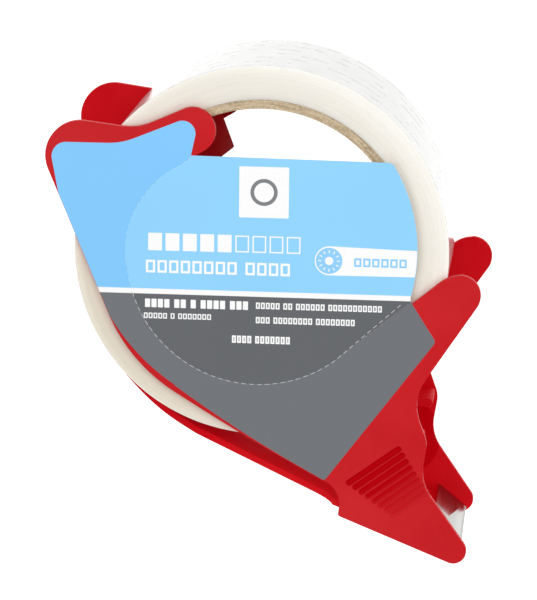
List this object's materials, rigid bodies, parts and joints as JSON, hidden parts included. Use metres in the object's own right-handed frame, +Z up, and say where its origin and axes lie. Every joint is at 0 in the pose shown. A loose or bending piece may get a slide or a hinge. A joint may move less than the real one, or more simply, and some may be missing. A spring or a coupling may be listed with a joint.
{
  "type": "packing tape dispenser",
  "caption": "Hand-held red plastic dispenser with side plates, serrated cutter and thumb grips, holding a full roll of clear packing tape behind a flat label.",
  "frame": {"origin": "middle of the footprint on the table, with the dispenser lying on its far side plate", "axes": "+Z up out of the labelled side along the roll's axis, +Y from the cutter towards the top of the roll, +X from the wing towards the front tip"},
  "size_m": [0.1164, 0.1333, 0.0524],
  "materials": {
    "red_plastic": "moulded polypropylene, satin",
    "blade_steel": "bright spring steel",
    "core_board": "unbleached wound paperboard",
    "clear_tape": "clear film over cream adhesive, glossy outside and satin at the cut edges",
    "label_print": "coated label print, blue over grey, satin"
  },
  "bodies": {
    "dispenser": {"near_side_plate": "red_plastic", "far_side_plate": "red_plastic", "belly_wall": "red_plastic", "nose_bridge": "red_plastic", "cutter_blade": "blade_steel", "label_border": "label_print", "label_tear_panel": "label_print"},
    "tape_roll": {"paper_core": "core_board", "tape_winding": "clear_tape"}
  },
  "joints": [
    {"name": "roll_spin", "type": "hinge", "parent": "dispenser", "child": "tape_roll", "pos_m": [-0.0014, 0.017, 0.0259], "axis": [0, 0, 1], "continuous": true}
  ]
}
